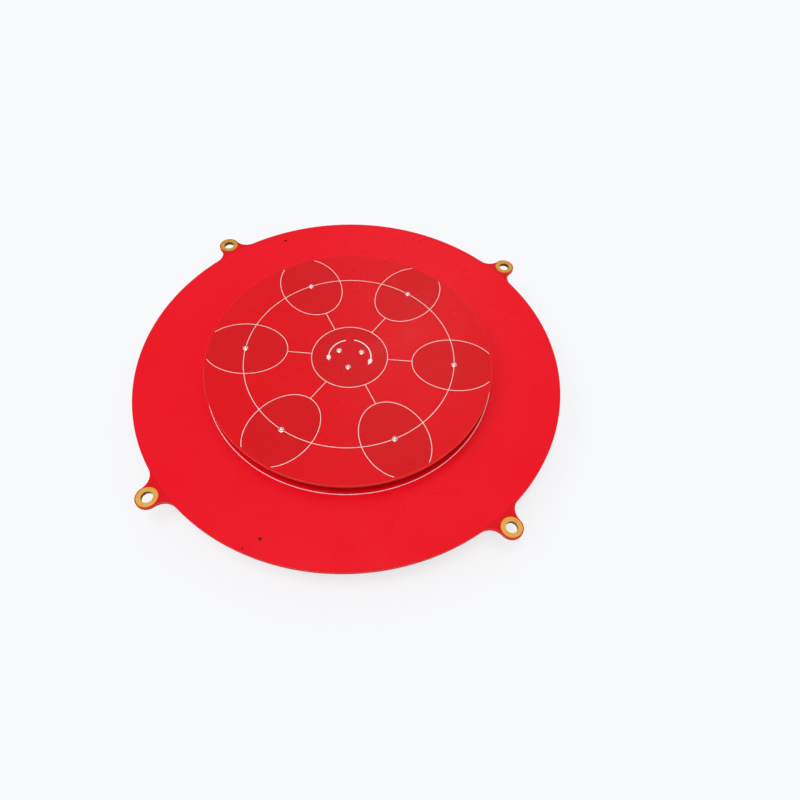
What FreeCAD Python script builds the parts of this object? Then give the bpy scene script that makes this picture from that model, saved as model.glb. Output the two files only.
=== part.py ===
# Flat panel antenna: a large round reflector board with four ears and a smaller round radiator
# board held in front of it on thin pins, with a coaxial jack behind.
# Millimetres. Origin: centre of the reflector board's rear face. +Z points out of the front.
import FreeCAD, Part
import math
import os
from types import SimpleNamespace

import Sketcher
from FreeCAD import Placement, Rotation, Vector

DOC = FreeCAD.newDocument("PanelAntenna")

# Driving dimensions: name, value, what it sizes
DIMENSIONS = [
    ("reflector_diameter", 120.0, "round part of the larger board"),
    ("reflector_thickness", 1.0, "larger board"),
    ("mount_overhang", 3.6396, "mounting hole's centre outside the board's round rim"),
    ("mount_hole_diameter", 3.0, "inside the plating"),
    ("ear_diameter", 6.0, "rounded end of an ear"),
    ("ear_fillet_radius", 4.0, "hollow curve from an ear's end to the board's rim"),
    ("mount_ring_diameter", 5.4, "flat plated ring round a mounting hole"),
    ("drill_diameter", 0.5, "two small holes near the reflector's rim"),
    ("rear_drill_inset", 3.78, "small hole at the rear, in from the rim"),
    ("rear_drill_angle", 118.94, "small hole at the rear, round from +X"),
    ("front_drill_inset", 4.64, "small hole at the front, in from the rim"),
    ("front_drill_angle", 253.95, "small hole at the front, round from +X"),
    ("foil_thickness", 0.05, "copper with its mask or plating"),
    ("ground_plane_margin", 0.2, "bare rim outside the ground plane"),
    ("radiator_diameter", 80.0, "smaller board"),
    ("radiator_thickness", 1.0, "smaller board"),
    ("board_gap", 3.5, "air between the two boards"),
    ("support_circle_share", 0.7325, "circle of the support pins, to the radiator's diameter"),
    ("support_pin_count", 6, "support pins, one for each oval patch"),
    ("feed_circle_share", 0.0915, "circle of the feed pins, to the radiator's diameter"),
    ("feed_pin_count", 3, "feed pins"),
    ("pin_diameter", 0.8, "support and feed pins"),
    ("pin_clearance", 0.05, "radial clearance of a pin in a board"),
    ("pin_protrusion", 0.35, "pin past a board's outer face"),
    ("solder_diameter", 1.5, "solder joint of a pin"),
    ("solder_height", 0.6, "solder joint of a pin"),
    ("patch_length_share", 0.295, "oval patch along the radius, to the radiator's diameter"),
    ("patch_width_share", 0.22, "oval patch across the radius, to the radiator's diameter"),
    ("centre_patch_share", 0.265, "round patch at the centre, to the radiator's diameter"),
    ("strip_width", 0.6, "copper strip from the centre patch to an oval patch"),
    ("rim_margin", 0.6, "bare rim outside the patches and printed lines"),
    ("legend_width", 0.15, "printed line"),
    ("legend_thickness", 0.03, "printed line"),
    ("legend_circle_margin", 0.15, "printed circle on the reflector, outside the radiator's rim"),
    ("legend_solder_gap", 0.15, "bare board between a printed line and a solder joint"),
    ("jack_offset", 15.0, "jack's axis from the board's centre"),
    ("jack_standoff", 0.4, "jack's base off the board"),
    ("jack_base_width", 6.35, "square base"),
    ("jack_base_thickness", 1.6, "square base"),
    ("jack_neck_diameter", 5.4, "relief between the base and the thread"),
    ("jack_neck_length", 0.9, "relief between the base and the thread"),
    ("jack_barrel_diameter", 6.35, "outside of the thread"),
    ("jack_barrel_length", 7.0, "thread"),
    ("jack_chamfer", 0.35, "both ends of the thread"),
    ("jack_bore_diameter", 4.1, "insulator"),
    ("jack_mouth_diameter", 4.6, "wider bore at the mouth"),
    ("jack_mouth_depth", 1.9, "wider bore at the mouth"),
    ("leg_pitch", 5.08, "side of the square of legs"),
    ("leg_width", 0.8, "square leg"),
    ("leg_shoulder_width", 1.25, "square shoulder that rests on the board"),
    ("leg_protrusion", 1.0, "leg past the ground plane"),
    ("leg_hole_diameter", 1.2, "hole for a leg"),
    ("leg_solder_diameter", 2.0, "solder joint of a leg"),
    ("leg_solder_height", 0.6, "solder joint of a leg"),
    ("contact_diameter", 1.27, "centre contact"),
    ("contact_hole_diameter", 1.4, "hole for the contact's tail"),
    ("contact_protrusion", 0.6, "contact's tail past the reflector's front"),
    ("contact_socket_diameter", 0.94, "socket in the contact's end"),
    ("contact_socket_depth", 3.0, "socket in the contact's end"),
    ("contact_slot_width", 0.16, "two crossed slots in the socket's wall"),
    ("contact_slot_depth", 2.4, "two crossed slots in the socket's wall"),
    ("contact_solder_diameter", 2.2, "solder joint of the contact"),
    ("contact_solder_height", 0.9, "solder joint of the contact"),
    ("feed_line_width", 1.8, "copper line from the jack to the feed pins"),
    ("feed_arc_width", 0.9, "curved copper line past the feed pins"),
    ("feed_arc_angle", 240.0, "angle that the curved line spans"),
    ("feed_pad_diameter", 1.9, "copper pad round a feed pin"),
    ("contact_pad_diameter", 2.6, "copper pad round the contact"),
    ("feed_clearance_diameter", 2.4, "hole in the ground plane round a feed pin"),
    ("contact_clearance_diameter", 3.2, "hole in the ground plane round the contact"),
]

SHEET = DOC.addObject("Spreadsheet::Sheet", "Sizes")
for row, (alias, number, note) in enumerate(DIMENSIONS, start=1):
    SHEET.set("A%d" % row, note)
    SHEET.set("B%d" % row, "%g" % number)
    SHEET.setAlias("B%d" % row, alias)
DOC.recompute()


class Formula:
    """A size worked out from the sheet: its expression and its number."""

    def __init__(self, text, number):
        self.text = text
        self.number = number

    def combine(self, sign, other, number):
        return Formula("(%s %s %s)" % (self.text, sign, other.text), number)

    def __add__(self, other):
        other = formula(other)
        return self.combine("+", other, self.number + other.number)

    def __sub__(self, other):
        other = formula(other)
        return self.combine("-", other, self.number - other.number)

    def __mul__(self, other):
        other = formula(other)
        return self.combine("*", other, self.number * other.number)

    def __truediv__(self, other):
        other = formula(other)
        return self.combine("/", other, self.number / other.number)

    def __neg__(self):
        return Formula("(-%s)" % self.text, -self.number)


def formula(item):
    """A plain number or a formula, as a formula."""
    return item if isinstance(item, Formula) else Formula("%g" % item, item)


S = SimpleNamespace(**{alias: Formula("Sizes." + alias, number) for alias, number, note in DIMENSIONS})

# Heights and places that several pieces share
FRONT = S.reflector_thickness
GROUND_FRONT = FRONT + S.foil_thickness
RADIATOR_REAR = FRONT + S.board_gap
RADIATOR_FRONT = RADIATOR_REAR + S.radiator_thickness
RIM_DIAMETER = S.radiator_diameter - S.rim_margin * 2
SUPPORT_CIRCLE = S.radiator_diameter * S.support_circle_share
SUPPORT_RADIUS = SUPPORT_CIRCLE / 2
FEED_RADIUS = S.radiator_diameter * S.feed_circle_share / 2
PATCH_LENGTH = S.radiator_diameter * S.patch_length_share
PATCH_WIDTH = S.radiator_diameter * S.patch_width_share
CENTRE_PATCH = S.radiator_diameter * S.centre_patch_share
RIM_RADIUS = S.reflector_diameter / 2
MOUNT_RADIUS = RIM_RADIUS + S.mount_overhang
HALF_SPACING = MOUNT_RADIUS / Formula("sqrt(2)", math.sqrt(2))
HALF_PITCH = S.leg_pitch / 2
PIN_HOLE = S.pin_diameter + S.pin_clearance * 2

NODES = []


def add_body(label):
    """An empty body with a label of its own, kept as one of the part's nodes."""
    body = DOC.addObject("PartDesign::Body", label)
    body.Label = label
    NODES.append(body)
    return body


def place(item, across=0, along=0, height=0, flip=False):
    """Put a node at a place that follows the sheet, turned over about X if asked."""
    if flip:
        item.Placement = Placement(Vector(), Rotation(Vector(1, 0, 0), 180))
    for axis, place_on_axis in (("x", across), ("y", along), ("z", height)):
        if isinstance(place_on_axis, Formula):
            item.setExpression("Placement.Base." + axis, place_on_axis.text)


def origin_feature(body, role):
    """One of the body's own origin planes or axes."""
    return [feature for feature in body.Origin.OriginFeatures if feature.Role == role][0]


def add_sketch(body, name, plane="XY_Plane", height=None):
    """A sketch on one of the body's origin planes, raised along the plane's normal if asked."""
    sketch = body.newObject("Sketcher::SketchObject", name)
    sketch.AttachmentSupport = (origin_feature(body, plane), [""])
    sketch.MapMode = "FlatFace"
    if height:
        sketch.setExpression("AttachmentOffset.Base.z", height.text)
    return sketch


def bind(sketch, kind, places, size):
    """Add a constraint whose value follows the sheet."""
    index = sketch.addConstraint(Sketcher.Constraint(kind, *places, size.number))
    sketch.setExpression("Constraints[%d]" % index, size.text)


def fix_point(sketch, edge, end, across, along):
    """Tie a point of an edge to a place measured from the sketch's origin."""
    for kind, axis, distance in (("DistanceX", -2, across), ("DistanceY", -1, along)):
        if isinstance(distance, Formula):
            bind(sketch, kind, (-1, 1, edge, end), distance)
        else:
            sketch.addConstraint(Sketcher.Constraint("PointOnObject", edge, end, axis))


def point(across, along):
    """The point that two formulas give."""
    return Vector(formula(across).number, formula(along).number, 0)


def add_circle(sketch, across, along, diameter):
    """A circle whose centre and diameter follow the sheet."""
    circle = Part.Circle(point(across, along), Vector(0, 0, 1), diameter.number / 2)
    edge = sketch.addGeometry(circle, False)
    fix_point(sketch, edge, 3, across, along)
    bind(sketch, "Diameter", (edge,), diameter)


def add_polygon(sketch, corners):
    """A closed outline of straight edges, each corner tied to its place."""
    spots = [point(across, along) for across, along in corners]
    edges = [sketch.addGeometry(Part.LineSegment(spot, spots[(k + 1) % len(spots)]), False)
             for k, spot in enumerate(spots)]
    for k, edge in enumerate(edges):
        following = edges[(k + 1) % len(edges)]
        sketch.addConstraint(Sketcher.Constraint("Coincident", edge, 2, following, 1))
    for edge, (across, along) in zip(edges, corners):
        fix_point(sketch, edge, 1, across, along)


def add_rectangle(sketch, left, right, bottom, top):
    """A rectangle given by the places of its four sides."""
    add_polygon(sketch, [(left, bottom), (right, bottom), (right, top), (left, top)])


def add_square(sketch, across, along, width):
    """A square round a centre."""
    half = width / 2
    across = formula(across)
    along = formula(along)
    add_rectangle(sketch, across - half, across + half, along - half, along + half)


def add_ellipse(sketch, across, length, width):
    """An ellipse with its long axis along X and its centre on the X axis."""
    centre = point(across, 0)
    long_tip = centre + Vector(length.number / 2, 0, 0)
    short_tip = centre + Vector(0, width.number / 2, 0)
    edge = sketch.addGeometry(Part.Ellipse(long_tip, short_tip, centre), False)
    sketch.exposeInternalGeometry(edge)
    long_axis = edge + 1
    short_axis = edge + 2
    fix_point(sketch, edge, 3, across, 0)
    sketch.addConstraint(Sketcher.Constraint("Horizontal", long_axis))
    bind(sketch, "Distance", (long_axis,), length)
    bind(sketch, "Distance", (short_axis,), width)


def arc_between(centre, radius, start, end):
    """The arc that runs anticlockwise round a centre from one point to another."""
    first = math.atan2(start.y - centre.y, start.x - centre.x)
    last = math.atan2(end.y - centre.y, end.x - centre.x)
    if last < first:
        last += 2 * math.pi
    return Part.ArcOfCircle(Part.Circle(centre, Vector(0, 0, 1), radius), first, last)


def add_pad(body, sketch, length):
    """Raise a sketch's outline along its normal."""
    pad = body.newObject("PartDesign::Pad", sketch.Name + "Pad")
    pad.Profile = sketch
    pad.setExpression("Length", length.text)
    body.Tip = pad
    return pad


def add_pocket(body, sketch, always_cuts=True):
    """Cut a sketch's outline out of the body, upwards and right through."""
    DOC.recompute()
    volume_before = body.Shape.Volume
    pocket = body.newObject("PartDesign::Pocket", sketch.Name + "Pocket")
    pocket.Profile = sketch
    pocket.Reversed = True
    pocket.Type = "ThroughAll"
    body.Tip = pocket
    DOC.recompute()
    if always_cuts and body.Shape.Volume >= volume_before:
        raise ValueError("nothing was cut by " + pocket.Name)
    return pocket


def add_turned(body, sketch, axis, degrees=None):
    """Turn a sketch's outline about an axis, right round if no angle is given."""
    turned = body.newObject("PartDesign::Revolution", sketch.Name + "Turned")
    turned.Profile = sketch
    turned.ReferenceAxis = axis
    turned.Angle = 360
    if degrees:
        turned.setExpression("Angle", degrees.text)
    body.Tip = turned
    return turned


def repeat_round(body, feature, count):
    """Repeat a feature at equal angles about the body's Z axis."""
    pattern = body.newObject("PartDesign::PolarPattern", feature.Name + "Pattern")
    pattern.Originals = [feature]
    pattern.Axis = (origin_feature(body, "Z_Axis"), [""])
    pattern.Angle = 360
    pattern.setExpression("Occurrences", formula(count).text)
    body.Tip = pattern
    DOC.recompute()
    return pattern


def cut_holes(body, name, across, along, diameter, count=None):
    """One round hole right through, or a ring of them."""
    sketch = add_sketch(body, name)
    add_circle(sketch, across, along, diameter)
    pocket = add_pocket(body, sketch)
    if count:
        repeat_round(body, pocket, count)


def cut_pin_holes(body, name, feed_hole=PIN_HOLE):
    """Holes for the support pins and for the feed pins."""
    cut_holes(body, name + "SupportHole", SUPPORT_RADIUS, 0, PIN_HOLE, S.support_pin_count)
    cut_holes(body, name + "FeedHole", 0, -FEED_RADIUS, feed_hole, S.feed_pin_count)


def turned_place(radius, degrees):
    """The place at a radius and an angle, as two formulas."""
    angle = formula(degrees)
    turn = math.radians(angle.number)
    return (Formula("%s * cos(%s)" % (radius.text, angle.text), radius.number * math.cos(turn)),
            Formula("%s * sin(%s)" % (radius.text, angle.text), radius.number * math.sin(turn)))


def cut_drill_holes(body, name):
    """The two small holes near the reflector's rim."""
    sketch = add_sketch(body, name + "Drill")
    for inset, angle in ((S.rear_drill_inset, S.rear_drill_angle),
                         (S.front_drill_inset, S.front_drill_angle)):
        add_circle(sketch, *turned_place(RIM_RADIUS - inset, angle), S.drill_diameter)
    add_pocket(body, sketch)


def leg_places():
    """The four places of the jack's legs."""
    return [(across, along - S.jack_offset)
            for across in (HALF_PITCH, -HALF_PITCH) for along in (HALF_PITCH, -HALF_PITCH)]


def cut_jack_holes(body, name, contact_hole):
    """Holes for the jack's legs and for its contact."""
    sketch = add_sketch(body, name + "JackHole")
    for across, along in leg_places():
        add_circle(sketch, across, along, S.leg_hole_diameter)
    add_circle(sketch, 0, -S.jack_offset, contact_hole)
    add_pocket(body, sketch)


# Reflector board

def ear_centres():
    """Where an ear's two hollow curves have their centres, each clear of the rim and of the round end."""
    rim_reach = (RIM_RADIUS + S.ear_fillet_radius).number
    end_reach = (S.ear_diameter / 2 + S.ear_fillet_radius).number
    tip_reach = MOUNT_RADIUS.number
    swing = math.acos((rim_reach ** 2 + tip_reach ** 2 - end_reach ** 2) / (2 * rim_reach * tip_reach))
    low = Vector(math.cos(math.pi / 4 - swing), math.sin(math.pi / 4 - swing), 0) * rim_reach
    return low, Vector(low.y, low.x, 0)


def add_ears(body):
    """Four ears, each a round end that runs into the board's rim in two hollow curves."""
    rim = RIM_RADIUS
    end = S.ear_diameter / 2
    hollow = S.ear_fillet_radius
    middle = Vector(0, 0, 0)
    tip = point(HALF_SPACING, HALF_SPACING)
    low, high = ear_centres()
    foot_share = rim.number / (rim + hollow).number
    join_share = hollow.number / (end + hollow).number
    low_foot, high_foot = low * foot_share, high * foot_share
    low_join, high_join = low + (tip - low) * join_share, high + (tip - high) * join_share
    sketch = add_sketch(body, "Ear")
    low_side = sketch.addGeometry(Part.LineSegment(middle, low_foot), False)
    low_arc = sketch.addGeometry(arc_between(low, hollow.number, low_join, low_foot), False)
    round_end = sketch.addGeometry(arc_between(tip, end.number, low_join, high_join), False)
    high_arc = sketch.addGeometry(arc_between(high, hollow.number, high_foot, high_join), False)
    high_side = sketch.addGeometry(Part.LineSegment(high_foot, middle), False)
    for kind, places in (("Coincident", (low_side, 1, -1, 1)), ("Coincident", (high_side, 2, -1, 1)),
                         ("Perpendicular", (low_side, 2, low_arc, 2)),
                         ("Tangent", (low_arc, 1, round_end, 1)),
                         ("Tangent", (round_end, 2, high_arc, 2)),
                         ("Perpendicular", (high_arc, 1, high_side, 1))):
        sketch.addConstraint(Sketcher.Constraint(kind, *places))
    fix_point(sketch, round_end, 3, HALF_SPACING, HALF_SPACING)
    bind(sketch, "Radius", (low_arc,), hollow)
    bind(sketch, "Radius", (high_arc,), hollow)
    bind(sketch, "Radius", (round_end,), end)
    bind(sketch, "Distance", (low_side,), rim)
    bind(sketch, "Distance", (high_side,), rim)
    repeat_round(body, add_pad(body, sketch, S.reflector_thickness), 4)


def build_reflector_board():
    body = add_body("reflector_board")
    disc = add_sketch(body, "ReflectorDisc")
    add_circle(disc, 0, 0, S.reflector_diameter)
    add_pad(body, disc, S.reflector_thickness)
    add_ears(body)
    cut_holes(body, "MountHole", HALF_SPACING, HALF_SPACING,
              S.mount_hole_diameter + S.foil_thickness * 2, 4)
    cut_pin_holes(body, "Reflector")
    cut_drill_holes(body, "Reflector")
    cut_jack_holes(body, "Reflector", S.contact_hole_diameter)


def build_ground_plane():
    """Copper with its mask over the round part of the reflector's front."""
    body = add_body("ground_plane")
    disc = add_sketch(body, "GroundDisc")
    add_circle(disc, 0, 0, S.reflector_diameter - S.ground_plane_margin * 2)
    add_pad(body, disc, S.foil_thickness)
    cut_pin_holes(body, "Ground", S.feed_clearance_diameter)
    cut_drill_holes(body, "Ground")
    cut_jack_holes(body, "Ground", S.contact_clearance_diameter)
    place(body, height=FRONT)


def build_mount_rings():
    """The plating of each mounting hole: a thin barrel with a flat ring on both faces."""
    bore = S.mount_hole_diameter / 2
    barrel = bore + S.foil_thickness
    rim = S.mount_ring_diameter / 2
    rear = -S.foil_thickness
    for name, across, along in (("front_left", -HALF_SPACING, -HALF_SPACING),
                                ("front_right", HALF_SPACING, -HALF_SPACING),
                                ("rear_right", HALF_SPACING, HALF_SPACING),
                                ("rear_left", -HALF_SPACING, HALF_SPACING)):
        body = add_body("mount_ring_" + name)
        sketch = add_sketch(body, "Ring" + name.title().replace("_", ""), "XZ_Plane")
        add_polygon(sketch, [(bore, rear), (rim, rear), (rim, 0), (barrel, 0),
                             (barrel, FRONT), (rim, FRONT), (rim, GROUND_FRONT), (bore, GROUND_FRONT)])
        add_turned(body, sketch, (sketch, ["V_Axis"]))
        place(body, across, along)


def build_reflector_legend():
    """White printed circle just outside the radiator's rim."""
    body = add_body("reflector_legend")
    middle = S.radiator_diameter + S.legend_circle_margin * 2
    add_ring_line(body, "ReflectorCircle", middle)
    place(body, height=GROUND_FRONT)


# Radiator board

def build_radiator_board():
    body = add_body("radiator_board")
    disc = add_sketch(body, "RadiatorDisc")
    add_circle(disc, 0, 0, S.radiator_diameter)
    add_pad(body, disc, S.radiator_thickness)
    cut_pin_holes(body, "Radiator")
    place(body, height=RADIATOR_REAR)


def add_ring_line(body, name, middle):
    """A printed circle, given by the diameter of its middle."""
    sketch = add_sketch(body, name)
    add_circle(sketch, 0, 0, middle + S.legend_width)
    add_circle(sketch, 0, 0, middle - S.legend_width)
    return add_pad(body, sketch, S.legend_thickness)


def trim_rim(body, name):
    """Cut away what reaches past the bare rim of the radiator board."""
    sketch = add_sketch(body, name)
    add_circle(sketch, 0, 0, RIM_DIAMETER)
    add_circle(sketch, 0, 0, RIM_DIAMETER + PATCH_LENGTH)
    add_pocket(body, sketch, always_cuts=False)


def add_spokes(body, name, width, thickness):
    """Straight bars from the centre patch's edge to each oval patch's inner end."""
    sketch = add_sketch(body, name)
    overlap = S.legend_width / 4
    inner = CENTRE_PATCH / 2 - overlap
    outer = SUPPORT_RADIUS - PATCH_LENGTH / 2 + overlap
    add_rectangle(sketch, inner, outer, -width / 2, width / 2)
    repeat_round(body, add_pad(body, sketch, thickness), S.support_pin_count)


def build_patch_foil():
    """Etched copper under the radiator: a round patch, six oval ones and the strips between."""
    body = add_body("patch_foil")
    centre = add_sketch(body, "CentrePatch")
    add_circle(centre, 0, 0, CENTRE_PATCH)
    add_pad(body, centre, S.foil_thickness)
    add_spokes(body, "Strip", S.strip_width, S.foil_thickness)
    oval = add_sketch(body, "OvalPatch")
    add_ellipse(oval, SUPPORT_RADIUS, PATCH_LENGTH, PATCH_WIDTH)
    repeat_round(body, add_pad(body, oval, S.foil_thickness), S.support_pin_count)
    trim_rim(body, "PatchTrim")
    cut_pin_holes(body, "Patch")
    place(body, height=RADIATOR_REAR - S.foil_thickness)


def build_radiator_legend():
    """White printed lines: the ring through the pins, the centre circle, ovals and spokes."""
    body = add_body("radiator_legend")
    add_ring_line(body, "CentreCircle", CENTRE_PATCH)
    add_spokes(body, "Spoke", S.legend_width, S.legend_thickness)
    oval = add_sketch(body, "OvalLine")
    for line_edge in (S.legend_width, -S.legend_width):
        add_ellipse(oval, SUPPORT_RADIUS, PATCH_LENGTH + line_edge, PATCH_WIDTH + line_edge)
    repeat_round(body, add_pad(body, oval, S.legend_thickness), S.support_pin_count)
    add_ring_line(body, "PinRing", SUPPORT_CIRCLE)
    trim_rim(body, "LegendTrim")
    cut_holes(body, "LegendSolderGap", SUPPORT_RADIUS, 0,
              S.solder_diameter + S.legend_solder_gap * 2, S.support_pin_count)
    place(body, height=RADIATOR_FRONT)


# Pins and their solder joints

def build_pins():
    """Straight wire pins through both boards."""
    for label, radius, count, first_angle in (("support_pin", SUPPORT_RADIUS, S.support_pin_count, 0),
                                              ("feed_pin", FEED_RADIUS, S.feed_pin_count, -90)):
        for k in range(count.number):
            pin = DOC.addObject("Part::Cylinder", "%s_%d" % (label, k + 1))
            pin.Label = pin.Name
            pin.setExpression("Radius", (S.pin_diameter / 2).text)
            pin.setExpression("Height", (RADIATOR_FRONT + S.pin_protrusion * 2).text)
            across, along = turned_place(radius, first_angle + 360 / count.number * k)
            place(pin, across, along, -S.pin_protrusion)
            NODES.append(pin)


def add_solder_section(sketch, axis_at, wire_radius, foot_radius, base, top, wire_end):
    """Half section of a domed joint over the end of a wire, beside its axis.

    The dome is an arc from the foot to the top, with its centre on the axis. The joint points
    down where its top is lower than its base.
    """
    rises = top.number > base.number
    height = abs(top.number - base.number)
    dome_radius = (foot_radius.number ** 2 + height ** 2) / (2 * height)
    centre = point(axis_at, top) - Vector(0, dome_radius if rises else -dome_radius, 0)
    foot = (axis_at + foot_radius, base)
    corners = [foot, (axis_at + wire_radius, base), (axis_at + wire_radius, wire_end),
               (axis_at, wire_end), (axis_at, top)]
    spots = [point(*corner) for corner in corners]
    axis = sketch.addGeometry(Part.LineSegment(centre, spots[-1]), True)
    lines = [sketch.addGeometry(Part.LineSegment(*ends), False) for ends in zip(spots, spots[1:])]
    arc_ends = (spots[0], spots[-1]) if rises else (spots[-1], spots[0])
    dome = sketch.addGeometry(arc_between(centre, dome_radius, *arc_ends), False)
    foot_end, top_end = (1, 2) if rises else (2, 1)
    joins = [(line, 2, line + 1, 1) for line in lines[:-1]]
    joins += [(lines[0], 1, dome, foot_end), (lines[-1], 2, dome, top_end)]
    joins += [(axis, 2, lines[-1], 2), (axis, 1, dome, 3)]
    for join in joins:
        sketch.addConstraint(Sketcher.Constraint("Coincident", *join))
    sketch.addConstraint(Sketcher.Constraint("Vertical", axis))
    for line, corner in zip(lines, corners):
        fix_point(sketch, line, 1, *corner)
    fix_point(sketch, lines[-1], 2, *corners[-1])


def add_solder(label, plane, axis_at, wire, joint, base, top, wire_end, count=None):
    """Domed solder joints on one face of a board: a ring of them, or a single one."""
    body = add_body(label)
    sketch = add_sketch(body, label.title().replace("_", ""), plane)
    add_solder_section(sketch, axis_at, wire / 2, joint / 2, formula(base), top, wire_end)
    turned = add_turned(body, sketch, (sketch, ["Axis0"]))
    if count:
        repeat_round(body, turned, count)


def build_pin_solder():
    """Joints of every pin on the radiator's front and on the reflector's rear."""
    front_top = RADIATOR_FRONT + S.solder_height
    front_end = RADIATOR_FRONT + S.pin_protrusion
    rear_end = -S.pin_protrusion
    for name, plane, axis_at, count, rear in (
            ("support", "XZ_Plane", SUPPORT_RADIUS, S.support_pin_count, formula(0)),
            ("feed", "YZ_Plane", -FEED_RADIUS, S.feed_pin_count, -S.foil_thickness)):
        add_solder(name + "_solder_front", plane, axis_at, S.pin_diameter, S.solder_diameter,
                   RADIATOR_FRONT, front_top, front_end, count)
        add_solder(name + "_solder_rear", plane, axis_at, S.pin_diameter, S.solder_diameter,
                   rear, rear - S.solder_height, rear_end, count)


# Feed line on the reflector's rear face

def build_feed_line():
    """Copper line from the jack's contact, and a curved line past the three feed pins."""
    body = add_body("feed_line")
    foil = S.foil_thickness
    half_arc = S.feed_arc_width / 2
    arc = add_sketch(body, "FeedArc", "YZ_Plane")
    add_rectangle(arc, -FEED_RADIUS - half_arc, -FEED_RADIUS + half_arc, 0, foil)
    add_turned(body, arc, (arc, ["V_Axis"]), S.feed_arc_angle)
    pads = add_sketch(body, "FeedPad")
    add_circle(pads, 0, -FEED_RADIUS, S.feed_pad_diameter)
    repeat_round(body, add_pad(body, pads, foil), S.feed_pin_count)
    run = add_sketch(body, "FeedRun")
    half_line = S.feed_line_width / 2
    add_rectangle(run, -half_line, half_line, -S.jack_offset, -FEED_RADIUS)
    add_pad(body, run, foil)
    end_pad = add_sketch(body, "ContactPad")
    add_circle(end_pad, 0, -S.jack_offset, S.contact_pad_diameter)
    add_pad(body, end_pad, foil)
    cut_holes(body, "LineFeedHole", 0, -FEED_RADIUS, PIN_HOLE, S.feed_pin_count)
    cut_holes(body, "LineContactHole", 0, -S.jack_offset, S.contact_hole_diameter)
    place(body, height=-foil)


# Coaxial jack: its own Z runs from the board to the mouth, and it points to the rear

BARREL_START = S.jack_base_thickness + S.jack_neck_length
MOUTH = BARREL_START + S.jack_barrel_length
INSULATOR_END = MOUTH - S.jack_mouth_depth


def place_jack_piece(item):
    place(item, along=-S.jack_offset, height=-S.jack_standoff, flip=True)


def add_legs(body, name, width, length):
    """Four square legs that point away from the mouth."""
    sketch = add_sketch(body, name)
    for across in (HALF_PITCH, -HALF_PITCH):
        for along in (HALF_PITCH, -HALF_PITCH):
            add_square(sketch, across, along, width)
    pad = add_pad(body, sketch, length)
    pad.Reversed = True


def build_jack_body():
    """Square base with four shouldered legs, a neck and a barrel bored through."""
    body = add_body("jack_body")
    base = add_sketch(body, "JackBase")
    add_square(base, 0, 0, S.jack_base_width)
    add_pad(body, base, S.jack_base_thickness)
    barrel = add_sketch(body, "JackBarrel", "XZ_Plane")
    neck = S.jack_neck_diameter / 2
    wall = S.jack_barrel_diameter / 2
    chamfer = S.jack_chamfer
    add_polygon(barrel, [(0, S.jack_base_thickness), (neck, S.jack_base_thickness), (neck, BARREL_START),
                         (wall - chamfer, BARREL_START), (wall, BARREL_START + chamfer),
                         (wall, MOUTH - chamfer), (wall - chamfer, MOUTH), (0, MOUTH)])
    add_turned(body, barrel, (barrel, ["V_Axis"]))
    add_legs(body, "LegShoulders", S.leg_shoulder_width, S.jack_standoff)
    add_legs(body, "Legs", S.leg_width, S.jack_standoff + GROUND_FRONT + S.leg_protrusion)
    cut_holes(body, "JackBore", 0, 0, S.jack_bore_diameter)
    mouth = add_sketch(body, "JackMouth", height=INSULATOR_END)
    add_circle(mouth, 0, 0, S.jack_mouth_diameter)
    add_pocket(body, mouth)
    place_jack_piece(body)


def build_jack_insulator():
    """White sleeve between the jack's body and its contact."""
    outer = DOC.addObject("Part::Cylinder", "InsulatorOuter")
    outer.setExpression("Radius", (S.jack_bore_diameter / 2).text)
    inner = DOC.addObject("Part::Cylinder", "InsulatorInner")
    inner.setExpression("Radius", (S.contact_diameter / 2).text)
    for cylinder in (outer, inner):
        cylinder.setExpression("Height", INSULATOR_END.text)
    sleeve = DOC.addObject("Part::Cut", "jack_insulator")
    sleeve.Base = outer
    sleeve.Tool = inner
    sleeve.Label = sleeve.Name
    place_jack_piece(sleeve)
    NODES.append(sleeve)


def build_jack_contact():
    """Centre contact: a rod whose rear end is a socket split by two crossed slots."""
    body = add_body("jack_contact")
    rod = add_sketch(body, "ContactRod")
    add_circle(rod, 0, 0, S.contact_diameter)
    add_pad(body, rod, INSULATOR_END)
    tail = add_sketch(body, "ContactTail")
    add_circle(tail, 0, 0, S.contact_diameter)
    tail_pad = add_pad(body, tail, S.jack_standoff + FRONT + S.contact_protrusion)
    tail_pad.Reversed = True
    socket = add_sketch(body, "ContactSocket", height=INSULATOR_END - S.contact_socket_depth)
    add_circle(socket, 0, 0, S.contact_socket_diameter)
    add_pocket(body, socket)
    half_slot = S.contact_slot_width / 2
    reach = S.contact_diameter
    for name, across, along in (("SlotAcross", reach, half_slot), ("SlotAlong", half_slot, reach)):
        slot = add_sketch(body, name, height=INSULATOR_END - S.contact_slot_depth)
        add_rectangle(slot, -across, across, -along, along)
        add_pocket(body, slot)
    place_jack_piece(body)


def build_jack_solder():
    """Solder of the legs on the ground plane, and of the contact on the reflector's front."""
    body = add_body("leg_solder")
    rounds = add_sketch(body, "LegSolder")
    holes = add_sketch(body, "LegSolderHole")
    for across, along in leg_places():
        add_circle(rounds, across, along, S.leg_solder_diameter)
        add_square(holes, across, along, S.leg_width)
    add_pad(body, rounds, S.leg_solder_height)
    add_pocket(body, holes)
    place(body, height=GROUND_FRONT)
    add_solder("contact_solder", "YZ_Plane", -S.jack_offset, S.contact_diameter,
               S.contact_solder_diameter, FRONT, FRONT + S.contact_solder_height,
               FRONT + S.contact_protrusion)


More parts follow.
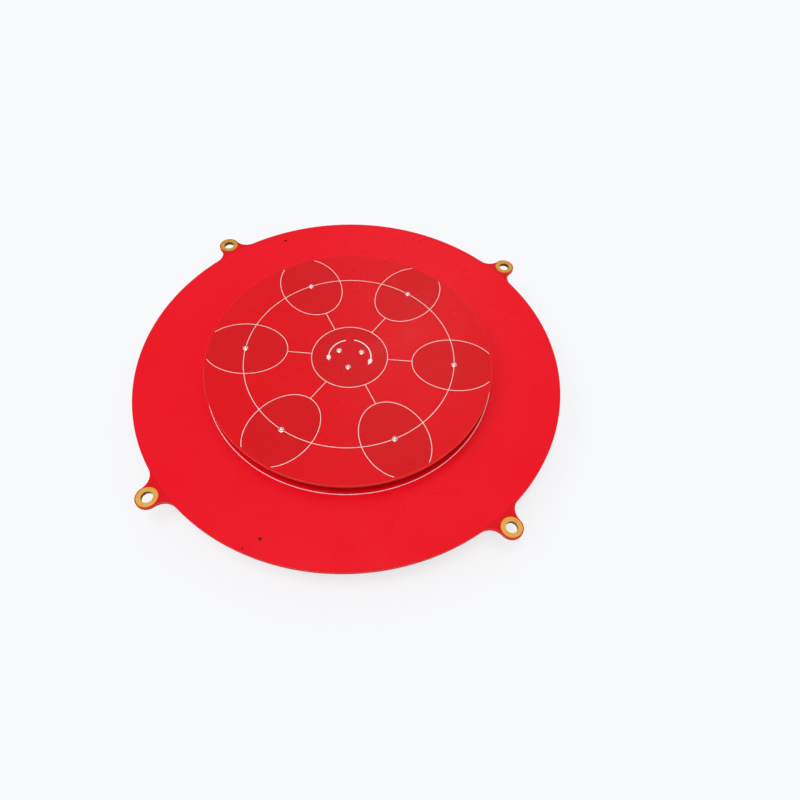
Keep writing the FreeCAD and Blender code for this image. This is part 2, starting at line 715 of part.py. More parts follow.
def check_and_write():
    """Check every object, then write each node to its own file."""
    DOC.recompute()
    for item in DOC.Objects:
        if "Invalid" in item.State or "Error" in item.State:
            raise ValueError("%s is %s" % (item.Name, item.State))
    os.makedirs("parts", exist_ok=True)
    for node in NODES:
        shape = node.Shape
        if shape.isNull() or not shape.isValid() or not shape.Solids:
            raise ValueError("bad shape in " + node.Label)
        shape.exportStep("parts/%s.step" % node.Label)
        box = shape.BoundBox
        print("%-22s solids %d volume %9.3f z %7.3f to %7.3f" % (
            node.Label, len(shape.Solids), shape.Volume, box.ZMin, box.ZMax))


build_reflector_board()
build_ground_plane()
build_mount_rings()
build_reflector_legend()
build_radiator_board()
build_patch_foil()
build_radiator_legend()
build_pins()
build_pin_solder()
build_feed_line()
build_jack_body()
build_jack_insulator()
build_jack_contact()
build_jack_solder()
check_and_write()
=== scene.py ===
import math

import bpy
from mathutils import Matrix, Vector


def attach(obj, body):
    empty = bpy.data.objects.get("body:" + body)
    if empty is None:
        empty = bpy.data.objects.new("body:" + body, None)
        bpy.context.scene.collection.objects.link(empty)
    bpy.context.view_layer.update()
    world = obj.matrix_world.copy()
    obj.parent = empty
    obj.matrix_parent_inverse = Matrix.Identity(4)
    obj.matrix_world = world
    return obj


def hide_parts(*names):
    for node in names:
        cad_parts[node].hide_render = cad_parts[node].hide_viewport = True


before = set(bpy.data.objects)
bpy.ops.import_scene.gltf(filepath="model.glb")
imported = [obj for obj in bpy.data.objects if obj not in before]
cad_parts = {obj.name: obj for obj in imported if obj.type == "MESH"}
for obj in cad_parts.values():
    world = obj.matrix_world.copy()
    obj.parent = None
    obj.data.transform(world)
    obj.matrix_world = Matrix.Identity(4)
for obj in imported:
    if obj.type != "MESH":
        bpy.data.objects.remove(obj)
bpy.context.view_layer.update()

# Flat panel antenna in red boards, with its camera, lights and floor.
# Lengths in the tables are millimetres; MM turns them into the scene's metres.
MM = 0.001

# Places and sizes of the antenna
PIN_CIRCLE = 29.3
FEED_CIRCLE = 3.66
SUPPORT_ANGLES = [0, 60, 120, 180, 240, 300]
FEED_ANGLES = [-90, 30, 150]
RADIATOR_TOP = 5.5
REFLECTOR_TOP = 1.0
REFLECTOR_REAR = 0.0
GROUND_TOP = 1.05
FEED_LINE_REAR = -0.05
INK_THICKNESS = 0.03
JACK_Y = -15.0
LEG_OFFSET = 2.54

# Vertices closer than this are one
MERGE_DISTANCE = 0.002


def deselect_all():
    if bpy.context.object and bpy.context.object.mode != "OBJECT":
        bpy.ops.object.mode_set(mode="OBJECT")
    bpy.ops.object.select_all(action="DESELECT")


def pick(*pieces):
    """Select these objects only, and make the first one active."""
    deselect_all()
    for piece in pieces:
        piece.select_set(True)
    bpy.context.view_layer.objects.active = pieces[0]


def settle(piece):
    """Put the piece's place into its mesh."""
    pick(piece)
    bpy.ops.object.transform_apply(location=True, rotation=True, scale=True)


def start_edit(piece):
    pick(piece)
    bpy.ops.object.mode_set(mode="EDIT")
    bpy.ops.mesh.select_all(action="SELECT")


def select_where(piece, test):
    """In edit mode, select the vertices whose place passes the test."""
    start_edit(piece)
    bpy.ops.mesh.select_mode(type="VERT")
    bpy.ops.mesh.select_all(action="DESELECT")
    bpy.ops.object.mode_set(mode="OBJECT")
    for vertex in piece.data.vertices:
        vertex.select = test(vertex.co)
    bpy.ops.object.mode_set(mode="EDIT")


def tidy_faces(piece, angle=35):
    """Merge doubles, turn every face outwards and smooth the round walls."""
    start_edit(piece)
    bpy.ops.mesh.remove_doubles(threshold=MERGE_DISTANCE * MM)
    bpy.ops.mesh.select_all(action="SELECT")
    bpy.ops.mesh.normals_make_consistent(inside=False)
    bpy.ops.object.mode_set(mode="OBJECT")
    bpy.ops.object.shade_smooth_by_angle(angle=math.radians(angle))


def apply_modifier(piece, kind, **settings):
    pick(piece)
    modifier = piece.modifiers.new(kind.title(), kind)
    for name, setting in settings.items():
        setattr(modifier, name, setting)
    bpy.ops.object.modifier_apply(modifier=modifier.name)


def join_copies(first, offsets):
    """Copy a piece to several places, each copy with its own mesh, and join them all."""
    copies = [first]
    for offset in offsets[1:]:
        pick(first)
        bpy.ops.object.duplicate(linked=False)
        copy = bpy.context.object
        copy.location = Vector(offset) - Vector(offsets[0])
        settle(copy)
        copies.append(copy)
    pick(*copies)
    bpy.ops.object.join()
    return bpy.context.object


def round_place(radius, degrees, height):
    turn = math.radians(degrees)
    return (radius * math.cos(turn) * MM, radius * math.sin(turn) * MM, height * MM)


# Forms

def turned_form(name, centre, profile, sides=32):
    """A round form: rings of (radius, height) stacked on a centre, both ends closed."""
    deselect_all()
    start_radius, start_height = profile[0]
    x, y, z = centre
    bpy.ops.mesh.primitive_circle_add(
        vertices=sides, radius=start_radius * MM, fill_type="NGON",
        location=(x, y, z + start_height * MM))
    piece = bpy.context.object
    piece.name = name
    settle(piece)
    start_edit(piece)
    for (radius, height), (next_radius, next_height) in zip(profile, profile[1:]):
        rise = (next_height - height) * MM
        share = next_radius / radius
        bpy.ops.mesh.extrude_region_move(TRANSFORM_OT_translate={"value": (0, 0, rise)})
        bpy.ops.transform.resize(value=(share, share, 1), center_override=(x, y, z + next_height * MM))
    tidy_faces(piece)
    return piece


def block(name, centre, size, edge):
    """A block with its edges broken."""
    deselect_all()
    bpy.ops.mesh.primitive_cube_add(size=1, location=[c * MM for c in centre], scale=[s * MM for s in size])
    piece = bpy.context.object
    piece.name = name
    settle(piece)
    start_edit(piece)
    bpy.ops.mesh.bevel(offset=edge * MM, segments=2, affect="EDGES")
    bpy.ops.object.mode_set(mode="OBJECT")
    return piece


# Solder joints: a pad, a hollow fillet up the wire and the wire's domed end
JOINT = [(0.75, 0.0), (0.75, 0.035), (0.70, 0.05), (0.62, 0.10), (0.55, 0.18), (0.49, 0.28),
         (0.445, 0.38), (0.40, 0.47), (0.33, 0.535), (0.22, 0.58), (0.08, 0.60)]
LEG_JOINT = [(1.0, 0.0), (1.0, 0.035), (0.95, 0.05), (0.86, 0.12), (0.76, 0.24), (0.68, 0.40),
             (0.62, 0.52), (0.56, 0.60)]
CONTACT_JOINT = [(1.1, 0.0), (1.1, 0.035), (1.04, 0.06), (0.94, 0.16), (0.84, 0.32), (0.76, 0.50),
                 (0.68, 0.66), (0.55, 0.79), (0.34, 0.87), (0.10, 0.90)]


def solder_joints(name, profile, places, up=True):
    """One joint made and copied to every pin."""
    if not up:
        profile = [(radius, -height) for radius, height in profile]
    first = turned_form(name, places[0], profile, sides=28)
    joints = join_copies(first, places) if len(places) > 1 else first
    joints.name = name
    tidy_faces(joints, 50)
    return joints


def make_solder():
    supports = [(PIN_CIRCLE, angle) for angle in SUPPORT_ANGLES]
    feeds = [(FEED_CIRCLE, angle) for angle in FEED_ANGLES]
    pieces = []
    for name, spots, height, up in (
            ("support_joints_front", supports, RADIATOR_TOP, True),
            ("support_joints_rear", supports, REFLECTOR_REAR, False),
            ("feed_joints_front", feeds, RADIATOR_TOP, True),
            ("feed_joints_rear", feeds, FEED_LINE_REAR, False)):
        places = [round_place(radius, angle, height) for radius, angle in spots]
        piece = solder_joints(name, JOINT, places, up)
        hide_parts(name.replace("joints", "solder"))
        pieces.append(piece)
    legs = [(x * MM, (JACK_Y + y) * MM, GROUND_TOP * MM)
            for x in (LEG_OFFSET, -LEG_OFFSET) for y in (LEG_OFFSET, -LEG_OFFSET)]
    leg_joints = solder_joints("leg_joints", LEG_JOINT, legs)
    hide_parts("leg_solder")
    contact_joint = turned_form("contact_joint", (0, JACK_Y * MM, REFLECTOR_TOP * MM), CONTACT_JOINT)
    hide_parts("contact_solder")
    return pieces + [leg_joints, contact_joint]


# Printed arrows at the centre that show which way the wave turns

# Name, radius of the bar's round path, and the angles of its start and its tip
ARROWS = [("turn_arrow_left", 5.85, 107, 199), ("turn_arrow_right", 5.95, 84, -24)]
ARROW_WIDTH = 0.3
HEAD_WIDTH = 1.05
HEAD_ANGLE = 18
# The head narrows to these shares of its width, the first at this share of its length
HEAD_BEND = 0.75
BEND_SHARE = 0.36
TIP_SHARE = 0.3

def flat_bar(name, radius, width):
    """The end of a printed bar: a short edge that lies across the bar's round path."""
    deselect_all()
    bpy.ops.mesh.primitive_plane_add(size=1, location=(radius * MM, 0, RADIATOR_TOP * MM))
    bar = bpy.context.object
    bar.name = name
    bar.scale = (width * MM, 0.1 * MM, 1)
    settle(bar)
    select_where(bar, lambda place: place.y < 0)
    bpy.ops.mesh.delete(type="VERT")
    bpy.ops.mesh.select_all(action="SELECT")
    return bar


def sweep(degrees, steps):
    """Sweep the selected edge round the board's centre, anticlockwise where degrees is above 0."""
    bpy.ops.mesh.spin(steps=steps, angle=-math.radians(degrees),
                      center=(0, 0, RADIATOR_TOP * MM), axis=(0, 0, 1))


def widen(radius, degrees, share):
    """Widen the selected edge about the bar's middle."""
    x, y, z = round_place(radius, degrees, RADIATOR_TOP)
    bpy.ops.transform.resize(value=(share, share, 1), center_override=(x, y, z))


def turn_arrow(name, radius, start, end):
    """A curved bar swept round the centre, whose last part spreads into a head and narrows to its tip."""
    arrow = flat_bar(name, radius, ARROW_WIDTH)
    bpy.ops.transform.rotate(value=-math.radians(start), orient_axis="Z", center_override=(0, 0, 0))
    turn = end - start
    way = math.copysign(1, turn)
    sweep(turn - way * HEAD_ANGLE, 24)
    neck = end - way * HEAD_ANGLE
    sweep(way * 0.01, 1)
    widen(radius, neck, HEAD_WIDTH / ARROW_WIDTH)
    sweep(way * HEAD_ANGLE * HEAD_BEND, 6)
    widen(radius, end - way * HEAD_ANGLE * (1 - HEAD_BEND), BEND_SHARE)
    sweep(way * HEAD_ANGLE * (1 - HEAD_BEND), 1)
    widen(radius, end, TIP_SHARE)
    bpy.ops.mesh.select_all(action="SELECT")
    bpy.ops.mesh.remove_doubles(threshold=MERGE_DISTANCE * MM)
    bpy.ops.object.mode_set(mode="OBJECT")
    apply_modifier(arrow, "SOLIDIFY", thickness=INK_THICKNESS * MM, offset=0)
    arrow.location.z = INK_THICKNESS / 2 * MM
    settle(arrow)
    tidy_faces(arrow)
    return arrow


def make_arrows():
    return [turn_arrow(*arrow) for arrow in ARROWS]


# Coaxial jack: the threaded shell, bored through, on a square base with four legs.
# Its forms are centred on its own axis. Profiles are (radius, height), with the board's rear face at height 0.

BASE_WIDTH = 6.35
BASE_THICKNESS = 1.6
BASE_MIDDLE = -1.2
SHOULDER_WIDTH = 1.25
PIN_WIDTH = 0.8
THREAD_ROOT = 2.76
THREAD_CREST = 3.175
THREAD_PITCH = 0.7056
THREAD_LOW = -9.9
THREAD_HIGH = -2.9
# One tooth of the thread: radius, and height as a share of the pitch
TOOTH = [(THREAD_ROOT, 0), (THREAD_ROOT, 0.12), (THREAD_CREST, 0.42), (THREAD_CREST, 0.56),
         (THREAD_ROOT, 0.86), (THREAD_ROOT, 1.0)]
NECK = [(2.7, -3.3), (2.7, -1.6)]
# What the thread is cut to, with a broken edge at both ends
THREAD_ENDS = [(2.72, -9.9), (3.175, -9.5), (3.19, -9.45), (3.19, -3.4), (3.175, -3.35), (2.72, -2.9)]
BORE = [(2.42, -10.2), (2.42, -9.88), (2.3, -9.78), (2.3, -8.0), (2.05, -8.0), (2.05, 0.4)]

def thread_form(name):
    """A thread: one tooth's outline screwed round the jack's axis and cut square at both ends."""
    deselect_all()
    turns = math.ceil((THREAD_HIGH - THREAD_LOW) / THREAD_PITCH) + 2
    start = THREAD_LOW - THREAD_PITCH
    bpy.ops.mesh.primitive_plane_add(size=MM, location=(0, 0, 0))
    tooth = bpy.context.object
    tooth.name = name
    bpy.ops.object.mode_set(mode="EDIT")
    bpy.ops.mesh.select_mode(type="VERT")
    bpy.ops.mesh.merge(type="CENTER")
    bpy.ops.mesh.select_all(action="SELECT")
    bpy.ops.transform.translate(value=(THREAD_ROOT * MM, 0, start * MM))
    for (radius, share), (next_radius, next_share) in zip(TOOTH, TOOTH[1:]):
        bpy.ops.mesh.extrude_region_move(TRANSFORM_OT_translate={
            "value": ((next_radius - radius) * MM, 0, (next_share - share) * THREAD_PITCH * MM)})
    bpy.ops.object.mode_set(mode="OBJECT")
    apply_modifier(tooth, "SCREW", axis="Z", angle=2 * math.pi, screw_offset=THREAD_PITCH * MM,
                   iterations=turns, steps=48, render_steps=48, use_normal_calculate=True)
    start_edit(tooth)
    bpy.ops.mesh.remove_doubles(threshold=MERGE_DISTANCE * MM)
    for height, way in ((THREAD_LOW, -1), (THREAD_HIGH, 1)):
        bpy.ops.mesh.select_all(action="SELECT")
        bpy.ops.mesh.bisect(plane_co=(0, 0, height * MM), plane_no=(0, 0, way), use_fill=True,
                            clear_outer=True, clear_inner=False, threshold=1e-8)
    bpy.ops.object.mode_set(mode="OBJECT")
    tidy_faces(tooth)
    return tooth


def combine(piece, other, operation):
    """Join, cut or keep the shared part of two closed forms, and drop the second."""
    apply_modifier(piece, "BOOLEAN", operation=operation, object=other, solver="EXACT")
    bpy.data.objects.remove(other)


def jack_leg():
    """A square leg with its shoulder and a tapered tip, its foot sunk in the base."""
    leg = block("jack_leg", (LEG_OFFSET, LEG_OFFSET, -0.5), (SHOULDER_WIDTH, SHOULDER_WIDTH, 1.0), 0.06)
    pin = block("jack_leg_pin", (LEG_OFFSET, LEG_OFFSET, 0.775), (PIN_WIDTH, PIN_WIDTH, 2.55), 0.1)
    combine(leg, pin, "UNION")
    return leg


def make_jack():
    """The jack's shell, made about its own axis and then moved to its place."""
    shell = block("jack_shell", (0, 0, BASE_MIDDLE), (BASE_WIDTH, BASE_WIDTH, BASE_THICKNESS), 0.12)
    leg = jack_leg()
    offsets = [(x * LEG_OFFSET * MM, y * LEG_OFFSET * MM, 0) for x, y in ((1, 1), (-1, 1), (-1, -1), (1, -1))]
    combine(shell, join_copies(leg, offsets), "UNION")
    combine(shell, turned_form("jack_neck", (0, 0, 0), NECK, 48), "UNION")
    thread = thread_form("jack_thread")
    combine(thread, turned_form("jack_thread_ends", (0, 0, 0), THREAD_ENDS, 96), "INTERSECT")
    combine(shell, thread, "UNION")
    combine(shell, turned_form("jack_bore", (0, 0, 0), BORE, 64), "DIFFERENCE")
    shell.location = (0, JACK_Y * MM, 0)
    settle(shell)
    tidy_faces(shell, 30)
    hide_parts("jack_body")
    return shell


def make_panel(name, node, edge):
    """A board with its sharp edges broken, made from the board's own solid."""
    pick(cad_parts[node])
    bpy.ops.object.duplicate(linked=False)
    panel = bpy.context.object
    panel.name = name
    for mark in list(panel.keys()):
        del panel[mark]
    start_edit(panel)
    bpy.ops.mesh.remove_doubles(threshold=MERGE_DISTANCE * MM)
    bpy.ops.mesh.select_all(action="SELECT")
    bpy.ops.mesh.dissolve_limited(angle_limit=math.radians(1))
    bpy.ops.object.mode_set(mode="OBJECT")
    apply_modifier(panel, "BEVEL", width=edge * MM, segments=2,
                   limit_method="ANGLE", angle_limit=math.radians(50))
    tidy_faces(panel, 15)
    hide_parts(node)
    return panel


# Finishes

LAYER_HEIGHT = 0.19
WEAVE_ACROSS = 0.52
WEAVE_ALONG = 0.58
REFLECTOR_RADIUS = 60.0
RADIATOR_RADIUS = 40.0

# Copper of the radiator, seen through its mask; edges are where the field starts and ends to fade
PATCH_HALF_LENGTH = 11.8
PATCH_HALF_WIDTH = 8.8
CENTRE_EDGE = (10.5, 10.7)
STRIP_SIDE = (0.25, 0.35)
STRIP_END = (17.5, 17.7)
COPPER_EDGE = (39.35, 39.45)

# Dark spots in the reflector's mask, as across, along and radius: a pin prick, and painted shade on the mask
# round the rims of two drilled holes
SPOT_AND_SHADE_COLOUR = (110, 6, 12)
SPOTS_AND_HOLE_SHADE = [(-19.0, -55.9, 0.2), (-15.3, -53.3, 0.36), (-27.2, 49.2, 0.36)]


class NodeTree:
    """The nodes of a finish or of the world, added one by one."""

    def __init__(self, tree):
        self.nodes = tree.nodes
        self.links = tree.links

    def add(self, kind, *given, **settings):
        """Add a node, set it up and link or set its inputs in order."""
        node = self.nodes.new(kind)
        for name, setting in settings.items():
            setattr(node, name, setting)
        for socket, item in zip(node.inputs, given):
            self.give(socket, item)
        return node

    def give(self, socket, item):
        if isinstance(item, bpy.types.NodeSocket):
            self.links.new(item, socket)
        elif item is not None:
            socket.default_value = item


class Finish(NodeTree):
    """One procedural finish, which ends in the surface shader."""

    def __init__(self, name):
        self.material = bpy.data.materials.new(name)
        self.material.use_nodes = True
        super().__init__(self.material.node_tree)
        self.surface = self.nodes["Principled BSDF"]
        self.place = self.add("ShaderNodeTexCoord").outputs["Object"]

    def sum(self, operation, *given):
        """One step of arithmetic."""
        return self.add("ShaderNodeMath", *given, operation=operation).outputs[0]

    def wave(self, number, length):
        """A wave along X, Y or Z, from -1 to 1, with its length in millimetres."""
        return self.sum("SINE", self.sum("MULTIPLY", self.axis(number), 2 * math.pi / length))

    def axis(self, number):
        """The place along X, Y or Z in millimetres."""
        split = self.add("ShaderNodeSeparateXYZ", self.place)
        return self.sum("MULTIPLY", split.outputs[number], 1 / MM)

    def noise(self, scale, detail=3.0, roughness=0.55, place=None):
        """Cloudy variation from 0 to 1, scale in repeats per millimetre."""
        cloud = self.add("ShaderNodeTexNoise")
        self.give(cloud.inputs["Vector"], place or self.place)
        self.give(cloud.inputs["Scale"], scale / MM)
        self.give(cloud.inputs["Detail"], detail)
        self.give(cloud.inputs["Roughness"], roughness)
        return cloud.outputs["Fac"]

    def spread(self, item, low, high, first=0.0, last=1.0):
        """Stretch a range of numbers to another one."""
        node = self.add("ShaderNodeMapRange", item, low, high, first, last)
        return node.outputs[0]

    def blend(self, share, first, second):
        """From the first colour to the second."""
        node = self.add("ShaderNodeMix", data_type="RGBA")
        self.give(node.inputs["Factor"], share)
        self.give(node.inputs["A"], first)
        self.give(node.inputs["B"], second)
        return node.outputs["Result"]

    def relief(self, height, strength, distance, below=None):
        bump = self.add("ShaderNodeBump")
        self.give(bump.inputs["Height"], height)
        self.give(bump.inputs["Strength"], strength)
        self.give(bump.inputs["Distance"], distance * MM)
        if below is not None:
            self.give(bump.inputs["Normal"], below)
        return bump.outputs["Normal"]

    def end(self, **sockets):
        for name, item in sockets.items():
            self.give(self.surface.inputs[name.replace("_", " ")], item)
        return self.material


def paint(red, green, blue):
    """A colour written as it shows, 0 to 255, turned into the linear one."""
    return tuple((c / 255 / 12.92) if c <= 10 else ((c / 255 + 0.055) / 1.055) ** 2.4
                 for c in (red, green, blue)) + (1.0,)


def flat_faces(finish, least=0.7):
    """1 on a board's two faces and 0 on its rim and in its holes."""
    normal = finish.add("ShaderNodeNewGeometry").outputs["True Normal"]
    split = finish.add("ShaderNodeSeparateXYZ", normal)
    return finish.sum("GREATER_THAN", finish.sum("ABSOLUTE", split.outputs[2]), least)


def glass_weave(finish):
    """Height of the glass cloth in the laminate: two crossed sets of threads."""
    crossed = finish.sum("MULTIPLY", finish.wave(0, WEAVE_ACROSS), finish.wave(1, WEAVE_ALONG))
    return finish.spread(crossed, -1.0, 1.0)


def plane_radius(finish):
    """Distance from the board's centre in millimetres."""
    squares = [finish.sum("MULTIPLY", finish.axis(k), finish.axis(k)) for k in (0, 1)]
    return finish.sum("SQRT", finish.sum("ADD", *squares))


def rim_colour(finish, rim_radius):
    """Cut laminate: faint even bands of glass, a pale line on the broken edge, and dark walls in the holes; the
    pale line is bare laminate lightened into a painted highlight, and the dark walls are painted shade.
    """
    bands = finish.wave(2, LAYER_HEIGHT)
    layers = finish.sum("ADD", finish.spread(bands, -1.0, 1.0, 0.0, 0.4), finish.noise(3.0, 2.0))
    wall = finish.blend(finish.spread(layers, 0.4, 1.0), paint(212, 40, 34), paint(236, 62, 50))
    # The broken edge gets a pale colour: bare laminate lightened into a painted highlight.
    rim = finish.blend(flat_faces(finish, 0.2), wall, paint(255, 128, 110))
    on_rim = finish.sum("GREATER_THAN", plane_radius(finish), rim_radius - 0.5)
    # Walls of the holes inside the rim get a dark colour: painted shade in the holes.
    return finish.blend(on_rim, paint(64, 8, 8), rim)


def legend_ink():
    """White ink: a little uneven, with a soft shine."""
    finish = Finish("legend_ink")
    cloud = finish.noise(2.2, 4.0)
    colour = finish.blend(finish.spread(cloud, 0.35, 0.65), paint(236, 226, 224), paint(252, 248, 246))
    grain = finish.noise(9.0, 2.0)
    return finish.end(Base_Color=colour, Roughness=finish.spread(cloud, 0.3, 0.7, 0.42, 0.6),
                      Normal=finish.relief(grain, 0.25, 0.01))


def oval_field(finish):
    """1 over the copper of the radiator: the centre patch, six oval patches and the strips between."""
    radius = plane_radius(finish)
    turn = finish.sum("ARCTAN2", finish.axis(1), finish.axis(0))
    folded = finish.sum("WRAP", turn, math.radians(30), math.radians(-30))
    along = finish.sum("MULTIPLY", radius, finish.sum("COSINE", folded))
    across = finish.sum("MULTIPLY", radius, finish.sum("SINE", folded))
    u = finish.sum("DIVIDE", finish.sum("SUBTRACT", along, PIN_CIRCLE), PATCH_HALF_LENGTH)
    v = finish.sum("DIVIDE", across, PATCH_HALF_WIDTH)
    reach = finish.sum("SQRT", finish.sum("ADD", finish.sum("MULTIPLY", u, u), finish.sum("MULTIPLY", v, v)))
    oval = finish.spread(reach, 0.99, 1.01, 1.0, 0.0)
    centre = finish.spread(radius, *CENTRE_EDGE, 1.0, 0.0)
    strip = finish.spread(finish.sum("ABSOLUTE", across), *STRIP_SIDE, 1.0, 0.0)
    strip = finish.sum("MULTIPLY", strip, finish.spread(radius, *STRIP_END, 1.0, 0.0))
    copper = finish.sum("MAXIMUM", finish.sum("MAXIMUM", oval, centre), strip)
    return finish.sum("MULTIPLY", copper, finish.spread(radius, *COPPER_EDGE, 1.0, 0.0))


def mask_gloss(finish):
    """Slow change of the mask's gloss and its fine orange peel."""
    handled = finish.noise(0.09, 3.0)
    peel = finish.noise(1.3, 2.0)
    return finish.spread(handled, 0.3, 0.7, 0.24, 0.36), peel


def red_over_copper(name, light, deep):
    """Glossy red mask on copper, with small dark spots near the reflector's rim: a pin prick, and painted shade
    round two drilled holes.
    """
    finish = Finish(name)
    gloss, peel = mask_gloss(finish)
    cloud = finish.noise(0.045, 2.0)
    colour = finish.blend(finish.spread(cloud, 0.3, 0.7), light, deep)
    # Each spot darkens the mask; round the two drilled holes this darkening is painted shade.
    for across, along, radius in SPOTS_AND_HOLE_SHADE:
        spot = (across * MM, along * MM, GROUND_TOP * MM)
        away = finish.add("ShaderNodeVectorMath", finish.place, spot, operation="DISTANCE").outputs["Value"]
        inside = finish.spread(away, radius * MM, 1.3 * radius * MM, 1.0, 0.0)
        colour = finish.blend(inside, colour, paint(*SPOT_AND_SHADE_COLOUR))
    return finish.end(Base_Color=colour, Roughness=gloss, Specular_IOR_Level=0.2,
                      Normal=finish.relief(peel, 0.12, 0.02))


def board_finish(name, rim_radius, light, deep, field=None, field_colour=None):
    """Glossy red mask on bare laminate, and the laminate itself on the rim and in the holes, with a painted
    highlight on the rim's broken edge and painted shade on the walls of the holes.
    """
    finish = Finish(name)
    gloss, peel = mask_gloss(finish)
    faces = flat_faces(finish, 0.97)
    weave = glass_weave(finish)
    cloth = finish.sum("MULTIPLY", weave, finish.noise(0.6, 2.0))
    mask = finish.blend(finish.spread(cloth, 0.1, 0.5), deep, light)
    if field:
        mask = finish.blend(field(finish), mask, field_colour)
    colour = finish.blend(faces, rim_colour(finish, rim_radius), mask)
    rough = finish.sum("ADD", gloss, finish.spread(faces, 0.0, 1.0, 0.4, 0.0))
    normal = finish.relief(peel, 0.12, 0.02, finish.relief(weave, 0.06, 0.01))
    return finish.end(Base_Color=colour, Roughness=rough, Specular_IOR_Level=0.2, Normal=normal)


def metal_finish(name, light, dark, rough, grain_scale, rings=0.0, wall=None):
    """Plated or tinned metal with slow tarnish, fine grain and, on turned parts, faint tool rings.

    The plating in a hole's wall can have a darker colour of its own, which is painted shade in the hole.
    """
    finish = Finish(name)
    tarnish = finish.noise(0.7, 3.0)
    grain = finish.noise(grain_scale, 3.0)
    colour = finish.blend(finish.spread(tarnish, 0.35, 0.7), light, dark)
    # Walls take the darker wall colour: painted shade in the holes.
    if wall:
        colour = finish.blend(flat_faces(finish), wall, colour)
    normal = finish.relief(grain, 0.2, 0.02)
    if rings:
        normal = finish.relief(finish.spread(finish.wave(2, rings), -1.0, 1.0), 0.12, 0.01, normal)
    return finish.end(Base_Color=colour, Metallic=1.0,
                      Roughness=finish.spread(grain, 0.3, 0.7, rough, rough + 0.14), Normal=normal)


def white_sleeve():
    """The white insulator in the jack: plain and matt."""
    finish = Finish("insulator_white")
    cloud = finish.noise(0.8, 3.0)
    colour = finish.blend(finish.spread(cloud, 0.35, 0.65), paint(228, 226, 220), paint(240, 239, 234))
    grain = finish.noise(12.0, 2.0)
    return finish.end(Base_Color=colour, Roughness=0.5, Normal=finish.relief(grain, 0.2, 0.01))


def dress():
    """Give every node and every new piece its finish."""
    copper_mask = red_over_copper("masked_copper", paint(241, 10, 34), paint(238, 6, 26))
    reflector = board_finish("reflector_laminate", REFLECTOR_RADIUS, paint(232, 12, 28), paint(220, 8, 20))
    radiator = board_finish("radiator_laminate", RADIATOR_RADIUS, paint(229, 14, 26), paint(224, 10, 20),
                            oval_field, paint(214, 16, 24))
    ink = legend_ink()
    # The gold's dark brown wall colour is painted shade inside the mounting holes.
    gold = metal_finish("gold_plating", paint(248, 196, 98), paint(238, 180, 80), 0.4, 5.0,
                        wall=paint(112, 66, 30))
    brass = metal_finish("gold_plated_brass", paint(236, 196, 116), paint(220, 172, 92), 0.16, 8.0, 0.11)
    tin = metal_finish("solder", paint(252, 250, 242), paint(226, 224, 214), 0.2, 4.0)
    wire = metal_finish("tinned_wire", paint(208, 206, 200), paint(178, 176, 170), 0.28, 6.0)
    sleeve = white_sleeve()
    for names, finish in (
            (["reflector_board"], reflector), (["radiator_board"], radiator),
            (["ground_plane", "patch_foil", "feed_line"], copper_mask),
            (["reflector_legend", "radiator_legend"], ink),
            ([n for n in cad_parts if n.startswith("mount_ring")], gold),
            ([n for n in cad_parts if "_pin_" in n], wire),
            (["jack_insulator"], sleeve), (["jack_contact", "jack_body"], brass),
            ([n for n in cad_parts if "solder" in n], tin)):
        for name in names:
            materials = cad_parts[name].data.materials
            materials.clear()
            materials.append(finish)
    for pieces, finish, slot in (
            (make_solder(), tin, "solder"), (make_arrows(), ink, "legend_ink"),
            ([make_jack()], brass, "gold_plated_brass"),
            ([make_panel("reflector_panel", "reflector_board", 0.12)], reflector, "board_laminate"),
            ([make_panel("radiator_panel", "radiator_board", 0.2)], radiator, "board_laminate")):
        for piece in pieces:
            piece.data.materials.clear()
            piece.data.materials.append(finish)
            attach(piece, "root")


# Floor, light and camera

FLOOR_Z = -9.95
BACKDROP = (249, 251, 253)
FLOOR_GLOW = 0.75
ROOM_LIGHT = 0.47
WHITE = (1, 1, 1, 1)

# Soft suns: name, strength, width of the source, lean from straight above, and the side it comes from
LAMPS = [("key_light", 1.28, 24, 9, -20), ("side_light", 0.4, 30, 42, -75), ("back_light", 0.06, 8, 38, 180)]

# Camera: angles in degrees, the point that its place is counted from, its distance from there, and its lens
CAMERA_TURN = 1.02
CAMERA_TILT = 56.17
CAMERA_LEAN = 3.75
CAMERA_AIM = (15.04, -10.28, 1.0)
CAMERA_DISTANCE = 171.57
CAMERA_LENS = 27.93


def lay_floor():
    deselect_all()
    bpy.ops.mesh.primitive_plane_add(size=12, location=(0, 0, FLOOR_Z * MM))
    floor = bpy.context.object
    floor.name = "floor"
    finish = Finish("floor_paper")
    colour = finish.blend(finish.noise(0.004, 2.0), paint(247, 249, 251), paint(248, 250, 252))
    finish.end(Base_Color=colour, Roughness=0.9, Specular_IOR_Level=0.0)
    glow = finish.add("ShaderNodeEmission", paint(*BACKDROP), 1.0).outputs[0]
    seen = finish.add("ShaderNodeLightPath")
    straight = finish.sum("MAXIMUM", seen.outputs["Is Camera Ray"], seen.outputs["Is Glossy Ray"])
    straight = finish.sum("MAXIMUM", straight, seen.outputs["Is Transmission Ray"])
    share = finish.sum("MULTIPLY", straight, FLOOR_GLOW)
    both = finish.add("ShaderNodeMixShader", share, finish.surface.outputs[0], glow).outputs[0]
    finish.links.new(both, finish.nodes["Material Output"].inputs["Surface"])
    floor.data.materials.append(finish.material)


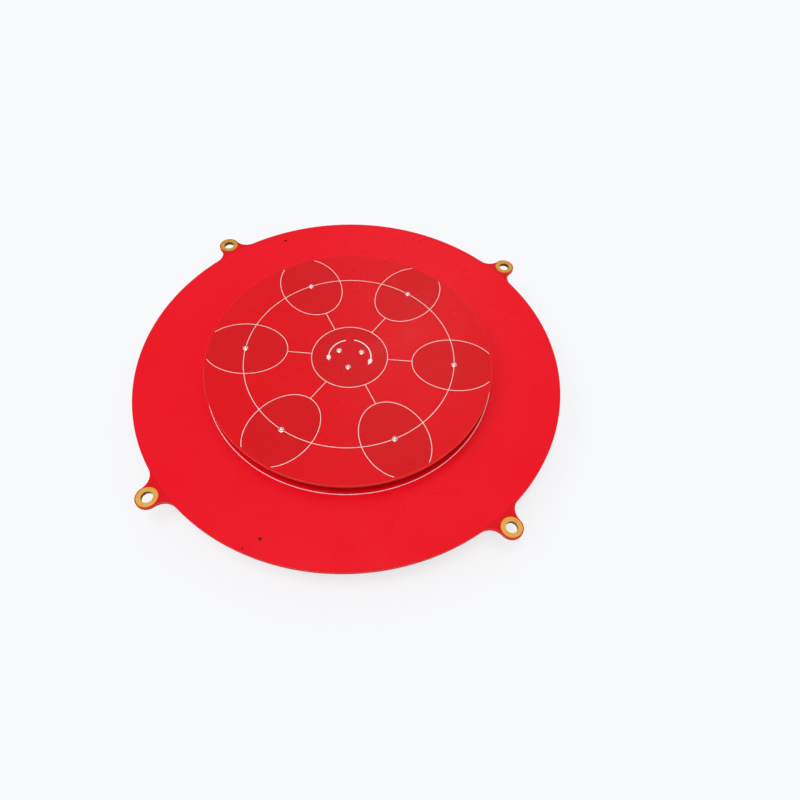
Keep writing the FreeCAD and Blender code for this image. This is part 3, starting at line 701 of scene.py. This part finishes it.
def light_scene():
    """A plain room for soft light, a pale backdrop that the camera sees, a darker one for metal, and suns."""
    world = bpy.data.worlds.new("studio")
    bpy.context.scene.world = world
    world.use_nodes = True
    studio = NodeTree(world.node_tree)
    studio.nodes.clear()
    room = studio.add("ShaderNodeBackground", WHITE, ROOM_LIGHT)
    backdrop = studio.add("ShaderNodeBackground", paint(*BACKDROP), 1.0)
    way = studio.add("ShaderNodeSeparateXYZ", studio.add("ShaderNodeTexCoord").outputs["Generated"])
    fade = studio.add("ShaderNodeMapRange", way.outputs[2], 0.1, 0.55, 1.0, 0.36)
    mirrored = studio.add("ShaderNodeBackground", WHITE, fade.outputs[0])
    seen = studio.add("ShaderNodeLightPath")
    bounced = studio.add("ShaderNodeMath", seen.outputs["Is Glossy Ray"], seen.outputs["Is Transmission Ray"],
                         operation="MAXIMUM")
    soft = studio.add("ShaderNodeMixShader", bounced.outputs[0], room.outputs[0], mirrored.outputs[0])
    whole = studio.add("ShaderNodeMixShader", seen.outputs["Is Camera Ray"],
                       soft.outputs[0], backdrop.outputs[0])
    studio.add("ShaderNodeOutputWorld", whole.outputs[0])
    for name, strength, spread, tilt, turn in LAMPS:
        deselect_all()
        bpy.ops.object.light_add(type="SUN", location=(0, 0, 0.5))
        lamp = bpy.context.object
        lamp.name = name
        lamp.data.energy = strength
        lamp.data.angle = math.radians(spread)
        lamp.rotation_euler = (math.radians(tilt), 0, math.radians(turn))


def place_camera():
    """The photograph's view: the camera's place comes from the four mounting holes and the rims."""
    turn = math.radians(CAMERA_TURN)
    tilt = math.radians(CAMERA_TILT)
    lean = math.radians(CAMERA_LEAN)
    back = Vector((math.sin(turn) * math.cos(tilt), -math.cos(turn) * math.cos(tilt), math.sin(tilt)))
    level = Vector((math.cos(turn), math.sin(turn), 0))
    rise = back.cross(level)
    side = level * math.cos(lean) + rise * math.sin(lean)
    top = rise * math.cos(lean) - level * math.sin(lean)
    spot = Vector(CAMERA_AIM) * MM + back * CAMERA_DISTANCE * MM
    bpy.ops.object.camera_add(location=(0, 0, 0))
    camera = bpy.context.object
    camera.name = "photo_camera"
    camera.matrix_world = Matrix.Translation(spot) @ Matrix((side, top, back)).transposed().to_4x4()
    camera.data.lens = CAMERA_LENS
    camera.data.sensor_width = 36
    camera.data.sensor_fit = "HORIZONTAL"
    camera.data.clip_start = 0.002
    camera.data.clip_end = 50
    bpy.context.scene.camera = camera


place_camera()
dress()
lay_floor()
light_scene()
bpy.context.scene.view_settings.view_transform = "Standard"
